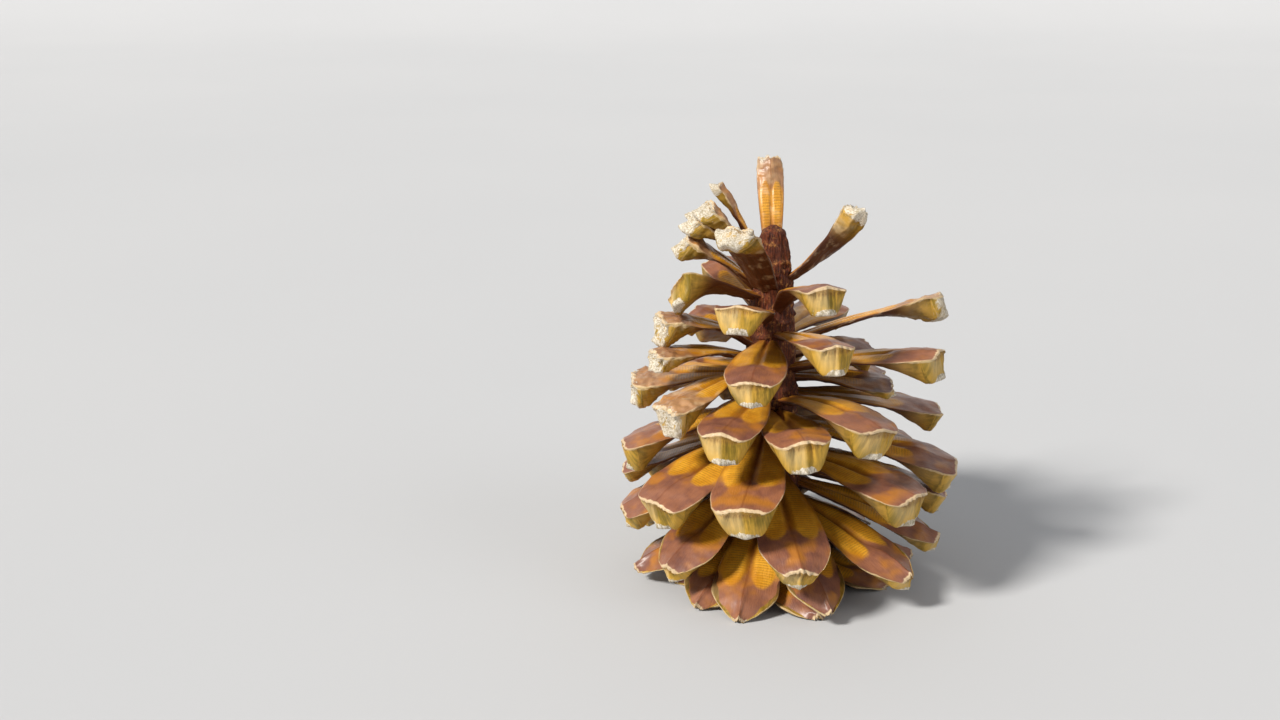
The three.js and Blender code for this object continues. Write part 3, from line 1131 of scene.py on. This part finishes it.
@dataclass(frozen=True)
class ScaleFinish:
    """The wood of the scales: golden where the seeds lay, mauve at the end, straw on the shield."""

    name: str = "scale_wood"
    gold: str = "#c07a10"
    gold_light: str = "#fcbc38"
    gold_dark: str = "#6e3408"
    mauve: str = "#694039"
    tan: str = "#a86d4a"
    root: str = "#b06a2c"
    # The rim colour is partly wear and partly a painted highlight; the bleached crown also fades to
    # it.
    rim: str = "#e8cfa4"
    shield: str = "#80690f"
    shield_light: str = "#cfa23a"
    painted_light_cream: str = "#ecce94"
    under: str = "#35150b"
    under_light: str = "#6b3a18"
    crust: str = "#e9e2d4"
    crust_dark: str = "#a3977f"
    crust_amount: float = 0.5
    bleach: float = 0.0

    def build(self, effects: Effects) -> bpy.types.Material:
        """Makes the material.

        Args:
            effects: The shared effects.

        Returns:
            The material.
        """
        material, bench, shader = new_material(self.name)
        place, across, under = (attribute(bench, name) for name in ("place", "across", "under"))
        lobe, furrow, face = (attribute(bench, name) for name in ("lobe", "furrow", "face"))
        fall, umbo, tone = (attribute(bench, name) for name in ("fall", "umbo", "tone"))
        laid = bench.node("ShaderNodeAttribute", attribute_name="lay")
        lay = Arrow(bench, laid.outputs["Vector"])
        lay = lay + bench.combine(0.0, fall * face * 4.5, under * 3.0)
        edge = across.size()
        fibre = effects.use(bench, effects.fibre, Place=lay, Fineness=1.0)
        fan = effects.use(bench, effects.fibre, Place=lay, Fineness=1.9)
        patch = bench.noise(lay, 0.35, 3.0, 0.55)
        speck = bench.noise(lay, 2.6, 3.0, 0.6)

        # The two beds where the winged seeds lay, finely lined across.
        _, forward, _ = bench.split(lay)
        lines = (forward * 12.0 + speck * 4.0 + patch * 6.0).sine() * 0.5 + 0.5
        glow = patch.ease(0.35, 0.65) * 0.4 + tone * 0.25 + lobe * 0.2
        gold = bench.mix(glow, shade(self.gold), shade(self.gold_light))
        gold = bench.mix(lines * 0.4 * lobe * speck.ease(0.25, 0.55), gold, shade(self.gold_dark))
        margin = furrow * 0.9 + edge.ease(0.86, 1.0) * 0.5
        gold = bench.mix((margin * (0.6 + speck * 0.6)).up_to(1.0), gold, shade(self.gold_dark))
        rooted = bench.mix(fan["Fibre"], shade(self.gold_dark), shade(self.root))
        gold = bench.mix(place.ease(0.34, 0.08) * (0.5 + fibre["Fibre"] * 0.4), gold, rooted)

        # The band past them, brown with a mauve bloom.
        spread = fan["Fibre"] * 0.2 + patch.ease(0.3, 0.7) * 0.45 + tone.ease(0.2, 0.8) * 0.35
        band = bench.mix(spread, shade(self.mauve), shade(self.tan))
        reach = place - lobe * 0.12 + (patch - 0.5) * 0.14 + (speck - 0.5) * 0.06
        top = bench.mix(reach.ease(0.57, 0.68), gold, band)
        bloom = bench.noise(lay, 0.2, 2.0).ease(0.48, 0.68)
        bloom = bloom * place.ease(0.5, 0.7) * place.ease(0.98, 0.9)
        top = bench.mix(bloom * 0.65, top, shade(self.gold))
        seam = edge.bell(0.0, 0.06) * place.ease(0.55, 0.65)
        top = bench.mix(seam * 0.45, top, shade(self.gold_dark))

        # The shield's end face, its knob and the underside.
        olive = (patch * 0.85 + fibre["Fibre"] * 0.15).ease(0.3, 0.66)
        front = bench.mix(olive, shade(self.shield), shade(self.shield_light))
        # Painted light: the left half of the face, towards the key lamp, is lightened to cream, and
        # a painted highlight runs down the keel.
        painted_light_side = across.ease(0.0, -0.1) * fall.ease(1.1, 0.3) * 0.45 + edge.bell(0.0, 0.1) * 0.2
        front = bench.mix(painted_light_side, front, shade(self.painted_light_cream))
        ribs = fan["Fibre"].ease(0.4, 0.7) * fall.bell(0.0, 0.55)
        # Painted shade: a dark line just under the rim's lip; the fibre ribs mixed in beside it are
        # the wood's own.
        painted_shade_under_rim = fall.ease(0.2, 0.05) * (0.4 + speck * 0.6)
        front = bench.mix((painted_shade_under_rim * 0.45 + ribs * 0.3).up_to(1.0), front, shade(self.under_light))
        streaks = fibre["Fibre"] * 0.5 + patch * 0.3
        below = bench.mix(streaks, shade(self.under), shade(self.under_light))
        below = bench.mix(place.ease(0.62, 0.9) * 0.7, below, front)
        back = bench.mix(face, below, front)
        wood = bench.mix(under.ease(0.15, 0.4), top, back)

        # Rims made pale, partly as rubbed wear and partly as a painted highlight along the edge,
        # and dry crust.
        lip = place.ease(0.97, 1.0) * under.ease(0.6, 0.3)
        lip = lip.at_least(edge.ease(0.965, 1.0) * place.ease(0.55, 0.85) * 0.7)
        # The pale rim is partly rubbed wear and partly a painted highlight where the edge catches
        # the light.
        wear_and_glint = effects.use(bench, effects.wear, Place=lay, Edge=lip)["Mask"]
        wood = bench.mix(wear_and_glint * 0.75, wood, shade(self.rim))
        crusty = place.ease(0.8, 0.95) * (0.1 + under * 0.15) * self.crust_amount * 2
        foot = fall.ease(0.6, 1.0) * face * edge.ease(0.75, 0.1) * 0.75
        tip = place.ease(0.9, 1.0) * self.bleach
        amount = umbo * 0.35 + foot + tip + self.crust_amount * 0.4 + crusty - 0.1
        dry = effects.use(bench, effects.crust, Place=lay, Amount=amount)
        ash = bench.mix(dry["Speck"], shade(self.crust_dark), shade(self.crust))
        cover = dry["Mask"] * place.ease(0.5, 0.8).at_least(self.bleach)
        wood = bench.mix((cover * 0.9).up_to(1.0), wood, ash)
        if self.bleach:
            start = 0.62 - self.bleach * 0.3
            faded = bench.noise(lay, 0.5, 3.0).ease(start, start + 0.16)
            wood = bench.mix(faded * self.bleach, wood, shade(self.rim))

        bench.feed(shader.inputs["Base Color"], wood)
        rough = 0.5 + (fibre["Fibre"] - 0.5) * 0.12 + cover * 0.3 - lobe * 0.08
        bench.feed(shader.inputs["Roughness"], rough)
        shader.inputs["Specular IOR Level"].default_value = 0.4
        bench.feed(shader.inputs["Coat Weight"], (1 - cover) * (1 - under) * 0.35)
        shader.inputs["Coat Roughness"].default_value = 0.28
        height = (
            fibre["Fibre"] * 0.35
            + fan["Fibre"] * 0.25
            + lines * lobe * 0.22
            + speck * 0.3
            + cover * (0.5 + dry["Speck"] * 0.6)
        )
        emboss(bench, shader, height, 0.55, 0.12)
        return material


@dataclass(frozen=True)
class CoreFinish:
    """The wood of the core: dull, dark and rough, with pale patches of dry resin."""

    name: str = "core_wood"
    dark: str = "#350f07"
    brown: str = "#91461a"
    pale: str = "#c98d4c"

    def build(self, effects: Effects) -> bpy.types.Material:
        """Makes the material.

        Args:
            effects: The shared effects.

        Returns:
            The material.
        """
        material, bench, shader = new_material(self.name)
        where = Arrow(bench, bench.node("ShaderNodeTexCoord").outputs["Object"]) * (1 / MM)
        upright = bench.node("ShaderNodeVectorRotate", rotation_type="X_AXIS")
        upright.inputs["Angle"].default_value = math.radians(90)
        bench.feed(upright.inputs["Vector"], where)
        grain = Arrow(bench, upright.outputs[0])
        fibre = effects.use(bench, effects.fibre, Place=grain, Fineness=1.0)
        wear = effects.use(bench, effects.wear, Place=where, Edge=fibre["Streak"] * 0.6)["Mask"]
        dry = effects.use(bench, effects.crust, Place=where, Amount=0.56)
        wood = bench.mix(fibre["Fibre"] * 0.6 + wear * 0.4, shade(self.dark), shade(self.brown))
        wood = bench.mix(dry["Mask"] * fibre["Fibre"] * 0.8, wood, shade(self.pale))
        bench.feed(shader.inputs["Base Color"], wood)
        bench.feed(shader.inputs["Roughness"], 0.7 + dry["Speck"] * 0.15)
        emboss(bench, shader, fibre["Fibre"] + dry["Mask"] * 0.5, 0.8, 0.2)
        return material


# ---- The core ------------------------------------------------------------------------------------


@dataclass
class Core:
    """The spindle that the scales grow from, with a hollow scar where each shed scale stood."""

    outline: Table
    scars: list[Scale]
    columns: int = 120
    rows: int = 220
    relief: float = 0.45
    scar_half_height: float = 1.3
    scar_rim: float = 0.9
    scar_depth: float = 1.1

    def build(self) -> bpy.types.Object:
        """Makes the core: a closed spindle with swollen, furrowed bark and a flat scar.

        Returns:
            The piece, at the origin.
        """
        top = self.outline[-1][0]
        points = [
            self._point(360 * column / self.columns, top * row / self.rows, top)
            for row in range(self.rows + 1)
            for column in range(self.columns)
        ]
        low = len(points)
        points.append(Vector((0, 0, 0)))
        points.append(Vector((0, 0, top * MM)))
        faces: list[tuple[int, ...]] = []
        for row in range(self.rows):
            for column in range(self.columns):
                after = (column + 1) % self.columns
                a, b = row * self.columns + column, row * self.columns + after
                faces.append((a, b, b + self.columns, a + self.columns))
        last = self.rows * self.columns
        for column in range(self.columns):
            after = (column + 1) % self.columns
            faces.append((low, after, column))
            faces.append((low + 1, last + column, last + after))
        mesh = bpy.data.meshes.new("woody_core")
        mesh.from_pydata(points, [], faces)
        mesh.polygons.foreach_set("use_smooth", [True] * len(mesh.polygons))
        piece = bpy.data.objects.new("woody_core", mesh)
        bpy.context.scene.collection.objects.link(piece)
        return piece

    def _point(self, angle: float, height: float, top: float) -> Vector:
        """A point of the bark.

        Args:
            angle: Its heading in degrees.
            height: Its height in millimetres.
            top: The core's height in millimetres.

        Returns:
            The point in metres.
        """
        radius = along(self.outline, height)
        around = outward(angle)
        rough = noise.noise(Vector((around.x * 2.2, around.y * 2.2, height * 0.35 + SEED)))
        fine = noise.noise(Vector((around.x * 7, around.y * 7, height * 0.8)))
        settled = min(1.0, height / 2) * min(1.0, (top - height) / 2)
        radius += (rough * self.relief + fine * self.relief * 0.5 - 0.1) * settled
        for scar in self.scars:
            drop = (height - scar.root.z) / self.scar_half_height
            if abs(drop) < 1:
                turn = math.radians((angle - scar.heading + 180) % 360 - 180)
                aside = turn * radius / (0.4 * scar.width)
                near = 1 - min(1.0, aside**2 + drop**2)
                radius += (self.scar_rim * near - self.scar_depth * near**3) * settled
        return (around * radius + Vector((0, 0, height))) * MM


# ---- The cone ------------------------------------------------------------------------------------


@dataclass
class PineCone:
    """The whole cone: the core and every scale on it."""

    spiral: Spiral = field(default_factory=Spiral)
    blank: ScaleBlank = field(default_factory=ScaleBlank)
    bender: ScaleBender = field(default_factory=ScaleBender)
    core_peak: tuple[float, float] = (67.0, 0.6)
    ragged: float = 1.6

    def build(self) -> list[bpy.types.Object]:
        """Makes every piece and puts it in place of its part.

        Returns:
            The pieces.
        """
        effects = Effects()
        spread_wood = ScaleFinish().build(effects)
        crown_wood = ScaleFinish(
            name="crown_wood",
            mauve="#85583c",
            tan="#c99a6a",
            crust="#efe9dc",
            crust_dark="#ad9f84",
            crust_amount=0.64,
            bleach=0.3,
        ).build(effects)
        blank = self.blank.build()
        scales = self.spiral.scales()
        scars = [self.spiral.scale(place) for place in SHED]
        core = Core((*self.spiral.core, self.core_peak), scars).build()
        core.data.materials.append(CoreFinish().build(effects))
        made = [(core, "core", "core")]
        for name, standing, material in (
            ("scar_scales", Standing.AT_SCAR, spread_wood),
            ("crown_scales", Standing.IN_CROWN, crown_wood),
        ):
            group = [scale for scale in scales if scale.standing is standing]
            piece = self.bender.bend(name, group, blank, material, self.ragged)
            made.append((piece, "core", "scales"))
        for scale in scales:
            if scale.standing is Standing.FREE:
                crusted = scale.place in CRUSTED
                material, wear = (crown_wood, self.ragged) if crusted else (spread_wood, 1.0)
                piece = self.bender.bend(f"woody_{scale.node}", [scale], blank, material, wear)
                made.append((piece, scale.node, "scales"))
        bpy.data.meshes.remove(blank.data)
        for piece, node, slot in made:
            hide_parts(node)
            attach(piece, "root")
            log.info("%s: %d faces", piece.name, len(piece.data.polygons))
        return [piece for piece, _, _ in made]


# ---- The studio ----------------------------------------------------------------------------------


@dataclass(frozen=True)
class Lamp:
    """A soft, distant lamp that shines on the cone. Softness is how wide it looks, in degrees."""

    name: str
    heading: float
    height: float
    strength: float
    softness: float
    colour: tuple[float, float, float] = (1.0, 1.0, 1.0)


@dataclass
class Studio:
    """A pale floor, soft lamps and the camera. Its lengths are in metres."""

    floor_half: float = 2.5
    floor_bend: float = 0.8
    bend_steps: int = 24
    wall_start: float = 1.2
    wall_height: float = 3.0
    sky_colour: Colour = (0.94, 0.95, 0.97, 1.0)
    sky_strength: float = 0.32
    camera_place: tuple[float, float, float] = (-0.02412, -0.28452, 0.12326)
    camera_tilt: float = 16.0
    lens: float = 45.0
    lamps: tuple[Lamp, ...] = (
        Lamp("key_lamp", -56, 40, 3.9, 12, (1.0, 0.96, 0.9)),
        Lamp("fill_lamp", 60, 30, 0.45, 40, (0.97, 0.98, 1.0)),
    )

    def build(self) -> None:
        """Sets the floor, the lamps, the sky and the camera."""
        self._floor()
        for lamp in self.lamps:
            self._light(lamp)
        world = bpy.data.worlds.new("soft_sky")
        world.use_nodes = True
        sky = world.node_tree.nodes["Background"]
        sky.inputs["Color"].default_value = self.sky_colour
        sky.inputs["Strength"].default_value = self.sky_strength
        bpy.context.scene.world = world
        bpy.context.scene.view_settings.view_transform = "Standard"
        self._camera()

    def _floor(self) -> None:
        """Lays the floor, a wide sheet that bends up behind the cone."""
        radius = self.floor_bend
        line = [(-self.floor_half, 0.0)]
        for step in range(self.bend_steps + 1):
            angle = math.pi / 2 * step / self.bend_steps
            y = self.wall_start + radius * math.sin(angle)
            line.append((y, radius - radius * math.cos(angle)))
        line.append((self.wall_start + radius, self.wall_height))
        points = [(side * self.floor_half, y, z) for y, z in line for side in (-1, 1)]
        faces = [(2 * k, 2 * k + 1, 2 * k + 3, 2 * k + 2) for k in range(len(line) - 1)]
        mesh = bpy.data.meshes.new("floor")
        mesh.from_pydata(points, [], faces)
        mesh.polygons.foreach_set("use_smooth", [True] * len(mesh.polygons))
        floor = bpy.data.objects.new("floor", mesh)
        bpy.context.scene.collection.objects.link(floor)
        material, bench, shader = new_material("pale_floor")
        where = Arrow(bench, bench.node("ShaderNodeTexCoord").outputs["Object"])
        cloud = bench.noise(where, 3.0, 3.0)
        tone = bench.mix(cloud, shade("#c3c5c8"), shade("#cccdcf"))
        bench.feed(shader.inputs["Base Color"], tone)
        shader.inputs["Roughness"].default_value = 0.85
        floor.data.materials.append(material)

    def _light(self, lamp: Lamp) -> None:
        """Hangs one lamp.

        Args:
            lamp: The lamp.
        """
        data = bpy.data.lights.new(lamp.name, "SUN")
        data.energy = lamp.strength
        data.angle = math.radians(lamp.softness)
        data.color = lamp.colour
        light = bpy.data.objects.new(lamp.name, data)
        height = math.radians(lamp.height)
        away = outward(lamp.heading) * math.cos(height) + Vector((0, 0, math.sin(height)))
        light.location = away
        light.rotation_euler = away.to_track_quat("Z", "Y").to_euler()
        bpy.context.scene.collection.objects.link(light)

    def _camera(self) -> None:
        """Sets the camera in front of the cone, a little above it."""
        data = bpy.data.cameras.new("camera")
        data.lens = self.lens
        data.clip_start = 0.01
        camera = bpy.data.objects.new("camera", data)
        camera.location = self.camera_place
        camera.rotation_euler = (math.radians(90 - self.camera_tilt), 0.0, 0.0)
        bpy.context.scene.collection.objects.link(camera)
        bpy.context.scene.camera = camera


def main() -> None:
    """Builds the cone and the studio."""
    logging.basicConfig(level=logging.INFO, format="%(name)s: %(message)s")
    pieces = PineCone().build()
    log.info("%d pieces", len(pieces))
    Studio().build()


if __name__ == "__main__":
    main()
